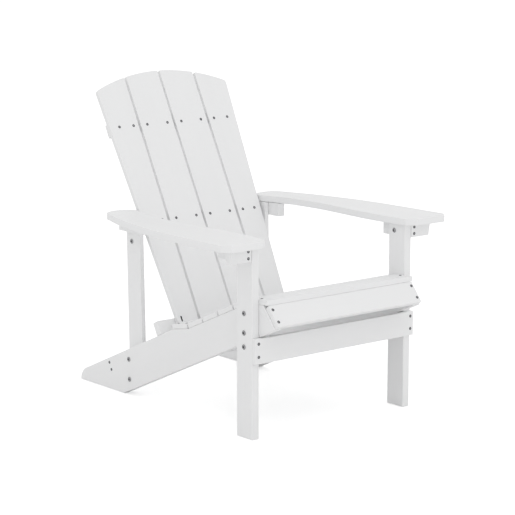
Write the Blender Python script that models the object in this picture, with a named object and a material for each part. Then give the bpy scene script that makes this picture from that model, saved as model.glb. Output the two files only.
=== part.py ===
"""Adirondack garden chair, built from separate boards, battens, bolts and screws.

Metres, +Z up.  The chair faces -Y, the sitter's right side is at -X, and the origin lies on the
ground under the middle of the chair's outline.  Side profiles are drawn in (s, z): s is the distance
behind the front face of the front legs, z the height above the ground.
"""
import math

import bmesh
import bpy
from mathutils import Matrix, Vector

# ---- stock sizes ----------------------------------------------------------------------------------
FIT_GAP = 0.0003            # clearance between pieces that touch
TIMBER = 0.024              # thickness of the heavy stock: legs, stringers, battens
BOARD = 0.014               # thickness of the light stock: slats, posts, apron
SLAT_WIDTH = 0.070          # width of seat slats and apron
LIP_WIDTH = 0.0675
LEG_WIDTH = 0.067           # width of front legs and rear posts
BATTEN = 0.041              # width of back rails and cleats
EDGE = 0.0014               # small chamfer along every sawn edge

# ---- overall frame --------------------------------------------------------------------------------
HALF_WIDTH_LEGS = 0.2905    # outer face of the front legs
ARM_UNDERSIDE = 0.5337      # height of the armrest underside at the front legs
ARM_FALL = 0.008            # the armrests fall this much per metre towards the back
ARM_THICK = 0.020

# ---- stringers (side rails that run down to the ground behind) -------------------------------------
RAKE = math.radians(24.0)   # slope of the stringers
STRINGER_LOW = 0.2842       # height of the lower edge line at s = 0
STRINGER_WIDTH = 0.116
HEEL = 0.860                # rearmost point on the ground
HEEL_RADIUS = 0.0436
SEAT_REAR = (0.388, 0.2385)     # bearing points of the seat slats along the stringer's top edge
SEAT_BEND = (0.319, 0.2515)
SEAT_CREST = (0.043, 0.3718)
SEAT_NOSE_HEIGHT = 0.3754
SLOPING_SLATS = 4

# ---- lip slat across the nose -----------------------------------------------------------------------
LIP_TOP = (-0.0347, 0.3763)     # upper outer edge
LIP_TILT = math.radians(39.8)   # of the lip's face from vertical
LIP_HALF_LENGTH = 0.2622
LIP_SCREWS = (0.0136, 0.0516)   # distances from its upper edge

# ---- back -----------------------------------------------------------------------------------------
RECLINE = math.radians(28.1)    # of the back from vertical
BACK_FOOT = 0.3165              # where the front plane of the back would meet z = 0
BACK_TOP = 1.0509               # top of the back, measured along the slats from that line
BACK_BOTTOM = 0.2465
CROWN_RADIUS = 0.61             # the tops of the slats lie on one arc
SLAT_EDGES_INNER = (0.0036, 0.1233)
OUTER_SLAT_INSIDE = 0.1312
OUTER_SLAT_FOOT = 0.2027        # half width of the back at its lower end
OUTER_SLAT_FLARE = 0.0494       # growth of that half width per metre along the slats
CORNER_OUTER = 0.012
CORNER_INNER = 0.004
RAIL_UPPER = 0.8820             # middles of the back rails, measured along the slats
RAIL_MIDDLE = 0.5838
RAIL_LOWER = 0.2694
RAIL_HALF_LENGTHS = {"upper": 0.2235, "middle": 0.2276, "lower": 0.2655}
SLOT = (0.190, 0.2725, 0.2895)    # slotted hole in the outer slats: side, lower and upper end
SLOT_WIDTH = 0.0045

# ---- rear posts -----------------------------------------------------------------------------------
POST_MIDDLE = 0.6027            # s of the post's middle line at z = 0
POST_LEAN = 0.0213

# ---- cross pieces ---------------------------------------------------------------------------------
APRON_Z = (0.2135, 0.2838)
SEAT_HALF_LENGTH = 0.2658
STRETCHER = (0.702, 0.071)      # middle of the rear stretcher
STRETCHER_WIDTH = 0.044
BRACKET_GAP = 0.0012            # between each arm bracket and its leg

# ---- fasteners ------------------------------------------------------------------------------------
BOLT_HEAD = (0.0072, 0.0034)    # radius, height
BOLT_SHANK = 0.0036
BOLT_NUT = (0.0062, 0.0040)
SCREW_HEAD = (0.0042, 0.0011)
SCREW_SHANK = 0.0019
SCREW_LENGTH = 0.034
ROUND_SIDES = 12

# ---- finishes: colour, roughness, metallic ----------------------------------------------------------
WHITE = ((0.83, 0.83, 0.82), 0.48, 0.0)     # white plastic timber
STEEL = ((0.42, 0.42, 0.43), 0.34, 1.0)     # stainless steel

STRINGER_OUT = HALF_WIDTH_LEGS - TIMBER - FIT_GAP
STRINGER_IN = STRINGER_OUT - TIMBER
POST_OUT = STRINGER_IN - FIT_GAP
POST_IN = POST_OUT - BOARD

BACK_UP = Vector((math.sin(RECLINE), math.cos(RECLINE)))        # along the slats, in (s, z)
BACK_REAR = Vector((math.cos(RECLINE), -math.sin(RECLINE)))     # out of their rear faces
LIP_DOWN = Vector((-math.sin(LIP_TILT), -math.cos(LIP_TILT)))
LIP_IN = Vector((math.cos(LIP_TILT), -math.sin(LIP_TILT)))

LIP_TIP = LIP_TOP[0] + LIP_DOWN.x * LIP_WIDTH                   # foremost point of the chair
LEG_FRONT = -(HEEL + LIP_TIP) / 2                               # world Y of s = 0


def clear_scene():
    for thing in list(bpy.data.objects):
        bpy.data.objects.remove(thing, do_unlink=True)


def finish_material(name, finish):
    colour, roughness, metallic = finish
    made = bpy.data.materials.new(name)
    made.use_nodes = True
    shader = made.node_tree.nodes["Principled BSDF"]
    shader.inputs["Base Color"].default_value = (*colour, 1.0)
    shader.inputs["Roughness"].default_value = roughness
    shader.inputs["Metallic"].default_value = metallic
    return made


# ---- mesh helpers -----------------------------------------------------------------------------------
def prism_mesh(name, outline, thickness):
    """Close an outline in the local XY plane and give it thickness along local Z, about z = 0."""
    shape = bmesh.new()
    corners = [shape.verts.new((x, y, -thickness / 2)) for x, y in outline]
    base = shape.faces.new(corners)
    grown = bmesh.ops.extrude_face_region(shape, geom=[base])
    top = [item for item in grown["geom"] if isinstance(item, bmesh.types.BMVert)]
    bmesh.ops.translate(shape, verts=top, vec=(0, 0, thickness))
    bmesh.ops.recalc_face_normals(shape, faces=shape.faces)
    mesh = bpy.data.meshes.new(name)
    shape.to_mesh(mesh)
    shape.free()
    return mesh


def turned_mesh(name, profile):
    """Turn a profile of (radius, height) about local Z, closing it on the axis at both ends."""
    shape = bmesh.new()
    points = [shape.verts.new((radius, 0, height)) for radius, height in profile]
    edges = [shape.edges.new(pair) for pair in zip(points, points[1:])]
    bmesh.ops.spin(shape, geom=points + edges, cent=(0, 0, 0), axis=(0, 0, 1),
                   angle=math.tau, steps=ROUND_SIDES, use_duplicate=False)
    bmesh.ops.remove_doubles(shape, verts=shape.verts, dist=0.00001)
    bmesh.ops.recalc_face_normals(shape, faces=shape.faces)
    mesh = bpy.data.meshes.new(name)
    shape.to_mesh(mesh)
    shape.free()
    mesh.shade_smooth()
    mesh.set_sharp_from_angle(angle=math.radians(35))
    return mesh


def place(name, mesh, matrix, finish, parent, chamfer=EDGE):
    thing = bpy.data.objects.new(name, mesh)
    bpy.context.collection.objects.link(thing)
    mesh.materials.append(finish_material("finish_" + name, finish))
    thing.parent = parent
    thing.location = matrix.to_translation()
    thing.rotation_euler = matrix.to_euler()
    if chamfer:
        rounding = thing.modifiers.new("edge", "BEVEL")
        rounding.width = chamfer
        rounding.segments = 1
        rounding.limit_method = "ANGLE"
        rounding.angle_limit = math.radians(40)
    return thing


def side_matrix(x, origin=(0.0, 0.0)):
    """Local X runs to the rear, local Y up, local Z towards +X; origin is a point (s, z)."""
    turn = Matrix(((0, 0, 1, 0), (1, 0, 0, 0), (0, 1, 0, 0), (0, 0, 0, 1)))
    return Matrix.Translation((x, LEG_FRONT + origin[0], origin[1])) @ turn


def side_board(name, outline, x, thickness, parent):
    """A board whose wide face looks sideways: its outline is a list of (s, z)."""
    middle = Vector((sum(p[0] for p in outline), sum(p[1] for p in outline))) / len(outline)
    local = [(p[0] - middle.x, p[1] - middle.y) for p in outline]
    mesh = prism_mesh(name, local, thickness)
    return place(name, mesh, side_matrix(x, middle), WHITE, parent)


def cross_board(name, section, half_length, parent):
    """A board that runs from side to side: its section is a list of (s, z)."""
    return side_board(name, section, 0.0, 2 * half_length, parent)


def rectangle(low_x, low_y, high_x, high_y):
    return [(low_x, low_y), (high_x, low_y), (high_x, high_y), (low_x, high_y)]


def strip(start, along, across, length, width):
    """Four corners of a rectangle from one corner, two unit directions and two sizes."""
    start = Vector(start)
    return [tuple(start), tuple(start + along * length), tuple(start + along * length + across * width),
            tuple(start + across * width)]


def stringer_low(s):
    return STRINGER_LOW - s * math.tan(RAKE)


def stringer_top(s):
    return stringer_low(s) + STRINGER_WIDTH / math.cos(RAKE)


def arm_underside(s):
    return ARM_UNDERSIDE - ARM_FALL * s


def meet_line(point, direction, height_at_zero, fall):
    """Where a line from point along direction meets the line z = height_at_zero - fall * s."""
    reach = (height_at_zero - fall * point.x - point.y) / (direction.y + fall * direction.x)
    return point + direction * reach


def back_point(along, depth=0.0):
    """A point of the back: distance along the slats, depth behind their front plane."""
    return Vector((BACK_FOOT, 0)) + BACK_UP * along + BACK_REAR * depth


# ---- side frames ------------------------------------------------------------------------------------
def stringer_outline():
    arc_end = math.pi / 2 - RAKE
    centre = HEEL - HEEL_RADIUS
    heel = [(centre + HEEL_RADIUS * math.cos(arc_end * step / 6), HEEL_RADIUS * math.sin(arc_end * step / 6))
            for step in range(7)]
    cut_start = Vector(LIP_TOP) + LIP_IN * (BOARD + FIT_GAP)
    nose_reach = (SEAT_NOSE_HEIGHT - cut_start.y) / LIP_DOWN.y
    nose_top = cut_start + LIP_DOWN * nose_reach
    nose_tip = meet_line(cut_start, LIP_DOWN, STRINGER_LOW, math.tan(RAKE))
    toe = (STRINGER_LOW / math.tan(RAKE), 0.0)
    return [toe] + heel + [SEAT_REAR, SEAT_BEND, SEAT_CREST, tuple(nose_top), tuple(nose_tip)]


def post_outline():
    half = LEG_WIDTH / 2
    top = arm_underside(POST_MIDDLE + LEG_WIDTH) - FIT_GAP

    def edge(side, z):
        return (POST_MIDDLE + side * half + POST_LEAN * z, z)
    low_front = edge(-1, stringer_low(POST_MIDDLE - half) + 0.002)
    low_rear = edge(1, stringer_low(POST_MIDDLE + half) + 0.004)
    return [low_front, low_rear, edge(1, top), edge(-1, top)]


def rest_outline():
    """The block under each end of the middle rail; its top is cut to the rail's slope."""
    front, rear, low = 0.600, 0.640, 0.437
    corner = back_point(RAIL_MIDDLE - BATTEN / 2 - FIT_GAP, BOARD)
    slope = math.tan(RECLINE)
    return [(front, low), (rear, low), (rear, corner.y - slope * (rear - corner.x)),
            (front, corner.y - slope * (front - corner.x))]


def ledger_outline():
    """The block that carries the stringer on the inner face of each front leg."""
    front, rear, low = 0.004, 0.063, 0.217
    gap = 2 * FIT_GAP
    return [(front, low), (rear, low), (rear, stringer_low(rear) - gap), (front, stringer_low(front) - gap)]


# ---- armrests ---------------------------------------------------------------------------------------
ARM_STATIONS = (            # s, inner edge, outer edge of the plan
    (-0.012, 0.256, 0.407),
    (0.080, 0.250, 0.4065),
    (0.170, 0.250, 0.4045),
    (0.260, 0.257, 0.4015),
    (0.350, 0.263, 0.3925),
    (0.440, 0.261, 0.3765),
    (0.530, 0.249, 0.3550),
    (0.612, 0.2262, 0.3280),
)
ARM_FRONT = -0.036
ARM_REAR = 0.650
ARM_CHAMFER_INNER = 0.028
ARM_CHAMFER_OUTER = 0.020


def smooth_values(rows, column, steps):
    """Catmull-Rom curve through one column of the stations, steps points to each span."""
    points = [(row[0], row[column]) for row in rows]
    padded = [points[0]] + points + [points[-1]]
    curve = []
    for before, start, end, after in zip(padded, padded[1:], padded[2:], padded[3:]):
        for step in range(steps):
            t = step / steps
            curve.append(tuple(0.5 * (2 * b + (c - a) * t + (2 * a - 5 * b + 4 * c - d) * t * t
                                      + (3 * b - a - 3 * c + d) * t ** 3)
                               for a, b, c, d in zip(before, start, end, after)))
    curve.append(points[-1])
    return curve


def arm_outline():
    """Plan of the armrest on the +X side as (x, s)."""
    inner = [(x, s) for s, x in smooth_values(ARM_STATIONS, 1, 2)]
    outer = [(x, s) for s, x in smooth_values(ARM_STATIONS, 2, 2)]
    last, inside, outside = ARM_STATIONS[-1]
    middle, half = (inside + outside) / 2, (outside - inside) / 2
    rear = [(middle - half * math.cos(math.pi * step / 8), last + (ARM_REAR - last) * math.sin(math.pi * step / 8))
            for step in range(1, 8)]
    front_inner = (inner[0][0] + ARM_CHAMFER_INNER, ARM_FRONT)
    front_outer = (outer[0][0] - ARM_CHAMFER_OUTER, ARM_FRONT)
    return inner + rear + outer[::-1] + [front_outer, front_inner]


def build_arm(side, name, parent):
    outline = [(side * x, s) for x, s in arm_outline()]
    mesh = prism_mesh(name, outline, ARM_THICK)
    tilt = Matrix.Rotation(-math.atan(ARM_FALL), 4, "X")
    height = ARM_UNDERSIDE + ARM_THICK / 2
    return place(name, mesh, Matrix.Translation((0, LEG_FRONT, height)) @ tilt, WHITE, parent)


# ---- back -------------------------------------------------------------------------------------------
def crown(x):
    """Distance along the slats at which the arc of their tops passes x."""
    return BACK_TOP - CROWN_RADIUS + math.sqrt(CROWN_RADIUS ** 2 - x ** 2)


def outer_edge(along):
    return OUTER_SLAT_FOOT + OUTER_SLAT_FLARE * (along - BACK_BOTTOM)


def back_slat_outline(inner, outer_low, outer_high, corner_in, corner_out):
    """Slat on the +X side as (x, along): straight sides, a top on the common arc, round corners."""
    run = [inner + corner_in, (inner + outer_high) / 2, outer_high - corner_out]
    top = [(x, crown(x)) for x in run]
    inside = [(inner, crown(inner) - corner_in), (inner + 0.3 * corner_in, crown(inner) - 0.3 * corner_in)]
    drop = crown(outer_high) - corner_out
    outside = [(outer_high - 0.3 * corner_out, drop + 0.6 * corner_out), (outer_high, drop)]
    return [(inner, BACK_BOTTOM)] + inside + top + outside + [(outer_low, BACK_BOTTOM)]


def build_back_slat(side, outline, name, parent):
    middle = (BACK_BOTTOM + BACK_TOP) / 2
    local = [(side * x, along - middle) for x, along in outline]
    mesh = prism_mesh(name, local, BOARD)
    centre = back_point(middle, BOARD / 2)
    tilt = Matrix.Rotation(math.pi / 2 - RECLINE, 4, "X")
    spot = Matrix.Translation((0, LEG_FRONT + centre.x, centre.y))
    return place(name, mesh, spot @ tilt, WHITE, parent)


def back_rail_section(along):
    front, depth = BOARD + FIT_GAP, TIMBER
    return strip(back_point(along - BATTEN / 2, front), BACK_UP, BACK_REAR, BATTEN, depth)


def lower_rail_section():
    """The lower rail stands on the stringers, so its foot is cut to their slope."""
    lift = STRINGER_LOW + STRINGER_WIDTH / math.cos(RAKE) + 2 * FIT_GAP
    front_top = back_point(RAIL_LOWER + BATTEN / 2, BOARD + FIT_GAP)
    rear_top = front_top + BACK_REAR * TIMBER
    front_foot = meet_line(front_top, -BACK_UP, lift, math.tan(RAKE))
    rear_foot = meet_line(rear_top, -BACK_UP, lift, math.tan(RAKE))
    return [tuple(front_foot), tuple(rear_foot), tuple(rear_top), tuple(front_top)]


# ---- seat -------------------------------------------------------------------------------------------
def seat_slat_sections():
    """Sections of the seat slats from the rear to the front, each lying on the stringers' top edge."""
    rear, bend, crest = Vector(SEAT_REAR), Vector(SEAT_BEND), Vector(SEAT_CREST)
    sections = []
    for start, end, count, skip in ((bend, rear, 1, 0.0030), (crest, bend, SLOPING_SLATS, 0.0022)):
        along = (end - start).normalized()
        up = Vector((-along.y, along.x))
        pitch = (end - start).length / count
        for index in range(count):
            corner = start + along * (skip + pitch * index) + up * FIT_GAP
            sections.append(strip(corner, along, up, SLAT_WIDTH, BOARD))
    sloping = sections[1:][::-1]
    fall = Vector((SEAT_CREST[0] + 0.0166, SEAT_CREST[1] - SEAT_NOSE_HEIGHT)).normalized()
    up = Vector((-fall.y, fall.x))
    front_corner = crest - fall * 0.0784 + up * FIT_GAP
    return [sections[0]] + sloping + [strip(front_corner, fall, up, SLAT_WIDTH, BOARD)]


# ---- fasteners --------------------------------------------------------------------------------------
def bolt_profile(grip):
    """Head, shank of the given grip length and nut, along +Z from the seat of the head."""
    head, head_height = BOLT_HEAD
    nut, nut_height = BOLT_NUT
    return [(0, -head_height), (0.72 * head, -head_height), (head, -0.35 * head_height), (head, -FIT_GAP),
            (BOLT_SHANK, -FIT_GAP), (BOLT_SHANK, grip + FIT_GAP), (nut, grip + FIT_GAP),
            (nut, grip + nut_height), (0, grip + nut_height)]


def screw_profile(head_size, shank):
    head, head_height = head_size
    return [(0, -head_height), (0.8 * head, -head_height), (head, -FIT_GAP), (shank, -FIT_GAP),
            (shank, 0.8 * SCREW_LENGTH), (0, SCREW_LENGTH)]


def pointing(origin, direction):
    """Local +Z along direction."""
    turn = Vector((0, 0, 1)).rotation_difference(Vector(direction)).to_matrix().to_4x4()
    return Matrix.Translation(origin) @ turn


def bore(host_names, origin, direction, radius, length, name, parent):
    """Cut a round hole through the named boards with one shared cutter."""
    mesh = turned_mesh(name, [(0, -0.006), (radius, -0.006), (radius, length), (0, length)])
    cutter = place(name, mesh, pointing(origin, direction), STEEL, parent, chamfer=0)
    cutter.hide_render = True
    cutter.display_type = "WIRE"
    for host in host_names:
        cut = bpy.data.objects[host].modifiers.new(name, "BOOLEAN")
        cut.operation = "DIFFERENCE"
        cut.solver = "EXACT"
        cut.object = cutter


def build_bolt(name, side, s, z, x_head, x_nut, hosts, parent):
    """A bolt across the chair, its head seated on the plane x_head and its nut on x_nut."""
    grip = abs(x_head - x_nut)
    inward = 1 if x_nut > x_head else -1
    spot = (side * x_head, LEG_FRONT + s, z)
    axis = (side * inward, 0, 0)
    mesh = turned_mesh(name, bolt_profile(grip))
    place(name, mesh, pointing(spot, axis), STEEL, parent, chamfer=0)
    bore(hosts, spot, axis, BOLT_SHANK + FIT_GAP, grip + 0.006, "bore_" + name, parent)


def build_screw(name, spot, axis, hosts, parent, head=SCREW_HEAD, shank=SCREW_SHANK):
    mesh = turned_mesh(name, screw_profile(head, shank))
    place(name, mesh, pointing(spot, axis), STEEL, parent, chamfer=0)
    bore(hosts, spot, axis, shank + FIT_GAP, SCREW_LENGTH + 0.001, "bore_" + name, parent)


# ---- assembly ---------------------------------------------------------------------------------------
clear_scene()
chair = bpy.data.objects.new("chair", None)
bpy.context.collection.objects.link(chair)

SIDES = (("right", -1), ("left", 1))       # the sitter's right and left

for label, side in SIDES:
    side_board("stringer_" + label, stringer_outline(), side * (STRINGER_OUT - TIMBER / 2), TIMBER, chair)

    leg_top = arm_underside(LEG_WIDTH) - FIT_GAP
    side_board("front_leg_" + label, rectangle(0, 0, LEG_WIDTH, leg_top),
               side * (HALF_WIDTH_LEGS - TIMBER / 2), TIMBER, chair)

    side_board("rear_post_" + label, post_outline(), side * (POST_OUT - BOARD / 2), BOARD, chair)

    side_board("ledger_" + label, ledger_outline(), side * (STRINGER_OUT - TIMBER / 2), TIMBER, chair)

    side_board("rail_rest_" + label, rest_outline(), side * (POST_IN - FIT_GAP - BOARD / 2), BOARD, chair)

    cleat_x = HALF_WIDTH_LEGS + FIT_GAP + TIMBER / 2
    cleat_rear = 0.118
    side_board("front_cleat_" + label,
               rectangle(TIMBER + FIT_GAP, 0.4905, cleat_rear, arm_underside(cleat_rear) - FIT_GAP),
               side * cleat_x, TIMBER, chair)

    rear_end = 0.650
    side_board("rear_cleat_" + label,
               rectangle(0.5334, 0.4890, rear_end, arm_underside(rear_end) - FIT_GAP),
               side * (POST_OUT + FIT_GAP + TIMBER / 2), TIMBER, chair)

    inner_x, outer_top, outer_low = HALF_WIDTH_LEGS + BRACKET_GAP, 0.366, 0.360
    low, high = 0.4940, arm_underside(TIMBER) - FIT_GAP
    bracket = prism_mesh("arm_bracket_" + label,
                         [(side * inner_x, low), (side * outer_low, low), (side * outer_top, high),
                          (side * inner_x, high)], TIMBER)
    upright = Matrix.Translation((0, LEG_FRONT + TIMBER / 2, 0)) @ Matrix.Rotation(math.pi / 2, 4, "X")
    place("arm_bracket_" + label, bracket, upright, WHITE, chair)

    build_arm(side, "armrest_" + label, chair)

    outer_high = outer_edge(crown(OUTER_SLAT_FOOT))
    outer = back_slat_outline(OUTER_SLAT_INSIDE, OUTER_SLAT_FOOT, outer_high, CORNER_INNER, CORNER_OUTER)
    build_back_slat(side, outer, "back_slat_outer_" + label, chair)
    inner = back_slat_outline(*SLAT_EDGES_INNER[:1], SLAT_EDGES_INNER[1], SLAT_EDGES_INNER[1],
                              CORNER_INNER, CORNER_INNER)
    build_back_slat(side, inner, "back_slat_inner_" + label, chair)

cross_board("back_rail_upper", back_rail_section(RAIL_UPPER), RAIL_HALF_LENGTHS["upper"], chair)
cross_board("back_rail_middle", back_rail_section(RAIL_MIDDLE), RAIL_HALF_LENGTHS["middle"], chair)
cross_board("back_rail_lower", lower_rail_section(), RAIL_HALF_LENGTHS["lower"], chair)

for number, section in enumerate(seat_slat_sections(), start=1):
    cross_board("seat_slat_%d" % number, section, SEAT_HALF_LENGTH, chair)

cross_board("seat_lip", strip(LIP_TOP, LIP_DOWN, LIP_IN, LIP_WIDTH, BOARD), LIP_HALF_LENGTH, chair)

cross_board("apron", rectangle(-FIT_GAP - BOARD, APRON_Z[0], -FIT_GAP, APRON_Z[1]),
            HALF_WIDTH_LEGS, chair)

stringer_along = Vector((math.cos(RAKE), -math.sin(RAKE)))
stringer_up = Vector((math.sin(RAKE), math.cos(RAKE)))
stretcher_corner = Vector(STRETCHER) - stringer_along * TIMBER / 2 - stringer_up * STRETCHER_WIDTH / 2
cross_board("rear_stretcher", strip(stretcher_corner, stringer_along, stringer_up, TIMBER, STRETCHER_WIDTH),
            STRINGER_IN - FIT_GAP, chair)

# Slotted holes near the feet of the outer back slats.
for label, side in SIDES:
    x, low, high = SLOT
    centre = back_point((low + high) / 2, BOARD / 2)
    mesh = prism_mesh("slot_" + label, rectangle(-SLOT_WIDTH / 2, (low - high) / 2, SLOT_WIDTH / 2,
                                                 (high - low) / 2), 2 * BOARD - 0.002)
    spot = Matrix.Translation((side * x, LEG_FRONT + centre.x, centre.y))
    slot = place("slot_" + label, mesh, spot @ Matrix.Rotation(math.pi / 2 - RECLINE, 4, "X"), WHITE, chair,
                 chamfer=0)
    slot.hide_render = True
    slot.display_type = "WIRE"
    cut = bpy.data.objects["back_slat_outer_" + label].modifiers.new("slot", "BOOLEAN")
    cut.operation = "DIFFERENCE"
    cut.solver = "EXACT"
    cut.object = slot

LEG_BOLT_S = 0.0345
for label, side in SIDES:
    leg, stringer, post = "front_leg_" + label, "stringer_" + label, "rear_post_" + label
    rest_inner = POST_IN - FIT_GAP - BOARD
    for number, z in enumerate((0.348, 0.294), start=1):
        build_bolt("leg_bolt_%s_%d" % (label, number), side, LEG_BOLT_S, z, HALF_WIDTH_LEGS, STRINGER_IN,
                   (leg, stringer), chair)
    build_bolt("ledger_bolt_" + label, side, LEG_BOLT_S, 0.255, HALF_WIDTH_LEGS, STRINGER_IN,
               (leg, "ledger_" + label), chair)
    for number, (s, z) in enumerate(((0.607, 0.109), (0.604, 0.049)), start=1):
        build_bolt("post_bolt_%s_%d" % (label, number), side, s, z, STRINGER_OUT, POST_IN,
                   (stringer, post), chair)
    build_bolt("rest_bolt_" + label, side, 0.619, 0.457, POST_OUT, rest_inner,
               (post, "rail_rest_" + label), chair)
    for end, board, s, z, x in (("front", leg, 0.0446, 0.5123, HALF_WIDTH_LEGS - TIMBER),
                                ("rear", post, 0.6380, 0.4990, POST_IN)):
        build_screw("%s_cleat_bolt_%s" % (end, label), (side * x, LEG_FRONT + s, z), (side, 0, 0),
                    (board, "%s_cleat_%s" % (end, label)), chair, BOLT_HEAD, BOLT_SHANK)

for label, side in SIDES:
    stringer, leg = "stringer_" + label, "front_leg_" + label
    for number, distance in enumerate(LIP_SCREWS, start=1):
        spot = Vector(LIP_TOP) + LIP_DOWN * distance
        build_screw("lip_screw_%s_%d" % (label, number), (side * 0.2535, LEG_FRONT + spot.x, spot.y),
                    (0, LIP_IN.x, LIP_IN.y), ("seat_lip", stringer), chair)
    for number, z in enumerate((0.2700, 0.2335), start=1):
        build_screw("apron_screw_%s_%d" % (label, number),
                    (side * (HALF_WIDTH_LEGS - TIMBER / 2), LEG_FRONT - FIT_GAP - BOARD, z), (0, 1, 0),
                    ("apron", leg), chair)
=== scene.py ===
"""Adirondack garden chair in white plastic timber with stainless bolts and screws.

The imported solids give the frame.  Every board is drawn again with softly rounded edges and a grain that
follows its length, every bolt and screw as a turned head with its drive cut in.  Metres, +Z up; the chair
faces -Y.  Side profiles are drawn in (s, z): s is the distance behind the front face of the front legs.
"""

import math

import bpy
import numpy as np
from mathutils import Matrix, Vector

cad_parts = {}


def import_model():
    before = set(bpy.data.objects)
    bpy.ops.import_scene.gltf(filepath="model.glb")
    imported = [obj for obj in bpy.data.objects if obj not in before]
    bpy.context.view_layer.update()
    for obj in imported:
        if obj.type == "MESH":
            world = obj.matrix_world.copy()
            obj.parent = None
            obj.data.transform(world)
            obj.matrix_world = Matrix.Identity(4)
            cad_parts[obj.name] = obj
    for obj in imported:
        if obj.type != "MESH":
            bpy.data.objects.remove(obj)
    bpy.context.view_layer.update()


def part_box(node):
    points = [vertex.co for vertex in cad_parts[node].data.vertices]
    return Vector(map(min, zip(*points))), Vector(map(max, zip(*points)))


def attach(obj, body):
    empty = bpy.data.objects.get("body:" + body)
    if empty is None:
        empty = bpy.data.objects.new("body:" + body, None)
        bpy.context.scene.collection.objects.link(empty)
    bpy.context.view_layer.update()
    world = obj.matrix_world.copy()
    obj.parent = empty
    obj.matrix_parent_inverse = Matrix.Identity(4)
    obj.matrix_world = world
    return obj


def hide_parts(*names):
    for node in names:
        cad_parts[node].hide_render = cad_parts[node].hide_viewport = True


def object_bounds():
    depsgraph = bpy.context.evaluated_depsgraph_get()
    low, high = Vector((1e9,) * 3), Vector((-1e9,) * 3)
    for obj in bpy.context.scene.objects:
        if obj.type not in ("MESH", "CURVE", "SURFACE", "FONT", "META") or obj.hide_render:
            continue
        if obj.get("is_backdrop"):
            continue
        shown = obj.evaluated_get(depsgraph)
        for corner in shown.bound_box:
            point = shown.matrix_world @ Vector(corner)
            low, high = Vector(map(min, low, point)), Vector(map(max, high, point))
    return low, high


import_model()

# ---- sizes of the boards ----------------------------------------------------------------------------
FIT_GAP = 0.0003            # between neighbouring pieces
TIMBER = 0.024              # thickness of the heavy stock
BOARD = 0.014               # thickness of the light stock
SLAT_WIDTH = 0.070
LIP_WIDTH = 0.0665          # a millimetre under the CAD's, since its edges are sharper
LIP_HALF_LENGTH = 0.2622
LEG_WIDTH = 0.067
BATTEN = 0.041              # width of the back rails
HALF_WIDTH_LEGS = 0.2905
ARM_UNDERSIDE = 0.5337
ARM_FALL = 0.008            # drop of the armrest per metre rearward
ARM_THICK = 0.020
RAKE = math.radians(24.0)
STRINGER_LOW = 0.2842       # height of the stringer's lower edge line at s = 0
STRINGER_WIDTH = 0.116
HEEL = 0.860                # s of the stringer's rearmost point
HEEL_RADIUS = 0.0436
SEAT_REAR = (0.388, 0.2385)
SEAT_BEND = (0.319, 0.2515)
SEAT_CREST = (0.043, 0.3718)
SEAT_NOSE_HEIGHT = 0.3754
SLOPING_SLATS = 4
LIP_TOP = (-0.0347, 0.3763)
LIP_TILT = math.radians(39.8)
RECLINE = math.radians(28.1)
BACK_FOOT = 0.3165          # s where the back's front plane meets the ground
BACK_TOP = 1.0509           # places along the back, from that line upward
BACK_BOTTOM = 0.2465
CROWN_RADIUS = 0.61
OUTER_SLAT_INSIDE = 0.1312
OUTER_SLAT_FOOT = 0.2027
OUTER_SLAT_FLARE = 0.0494
RAIL_UPPER = 0.8820
RAIL_MIDDLE = 0.5838
RAIL_LOWER = 0.2694
POST_MIDDLE = 0.6027
POST_LEAN = 0.0213          # rearward lean per metre of height
APRON_Z = (0.2135, 0.2838)
SEAT_HALF_LENGTH = 0.2658
SLOT = (0.190, 0.2725, 0.2895)      # slot in the outer slats, shown only as a dark sheet of painted shade: x, lower and upper end
SLOT_WIDTH = 0.0045
STRETCHER = (0.702, 0.071)  # (s, z) of its middle
STRETCHER_WIDTH = 0.044
BRACKET_GAP = 0.0012        # between the arm bracket and the leg
SIDES = (("right", -1), ("left", 1))

STRINGER_OUT = HALF_WIDTH_LEGS - TIMBER - FIT_GAP
STRINGER_IN = STRINGER_OUT - TIMBER
POST_OUT = STRINGER_IN - FIT_GAP
POST_IN = POST_OUT - BOARD

EDGE_HEAVY = 0.0019         # edge radius of the heavy stock
EDGE_FINE = 0.0006          # edge radius of the level front slat and the lip, which meet
EDGE_LIGHT = 0.0016         # edge radius of the slats and other light boards
EDGE_STEPS = 4


def unit(angle_from_rear):
    """Unit vector in (s, z), turned up from the rearward direction."""
    return np.array([math.cos(angle_from_rear), math.sin(angle_from_rear)])


BACK_UP = unit(math.pi / 2 - RECLINE)
BACK_REAR = unit(-RECLINE)
LIP_DOWN = unit(LIP_TILT - math.pi / 2) * np.array([-1.0, 1.0])
LIP_IN = unit(-LIP_TILT)
STRINGER_ALONG = unit(-RAKE)
STRINGER_UP = unit(math.pi / 2 - RAKE)
# World Y of s = 0: the chair's outline is centred on the origin.
LEG_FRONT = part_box("front_leg_left")[0].y


def world(s, z, x=0.0):
    """The world point at distance s behind the legs' front, height z and sideways place x."""
    return np.array([x, LEG_FRONT + s, z])


def stringer_low(s):
    return STRINGER_LOW - s * math.tan(RAKE)


def arm_underside(s):
    return ARM_UNDERSIDE - ARM_FALL * s


def back_point(along, depth=0.0):
    """(s, z) of a point of the back: distance along the slats, depth behind their front plane."""
    return np.array([BACK_FOOT, 0.0]) + BACK_UP * along + BACK_REAR * depth


def meet_line(point, direction, height_at_zero, fall):
    """Where a line from point along direction meets the line z = height_at_zero - fall * s."""
    reach = (height_at_zero - fall * point[0] - point[1]) / (direction[1] + fall * direction[0])
    return point + direction * reach


def strip(start, along, across, length, width):
    """Four corners of a rectangle from one corner, two unit directions and two sizes."""
    start = np.asarray(start, float)
    far = start + along * length
    return np.array([start, far, far + across * width, start + across * width])


def rectangle(low_a, low_b, high_a, high_b):
    return np.array([(low_a, low_b), (high_a, low_b), (high_a, high_b), (low_a, high_b)], float)


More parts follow.
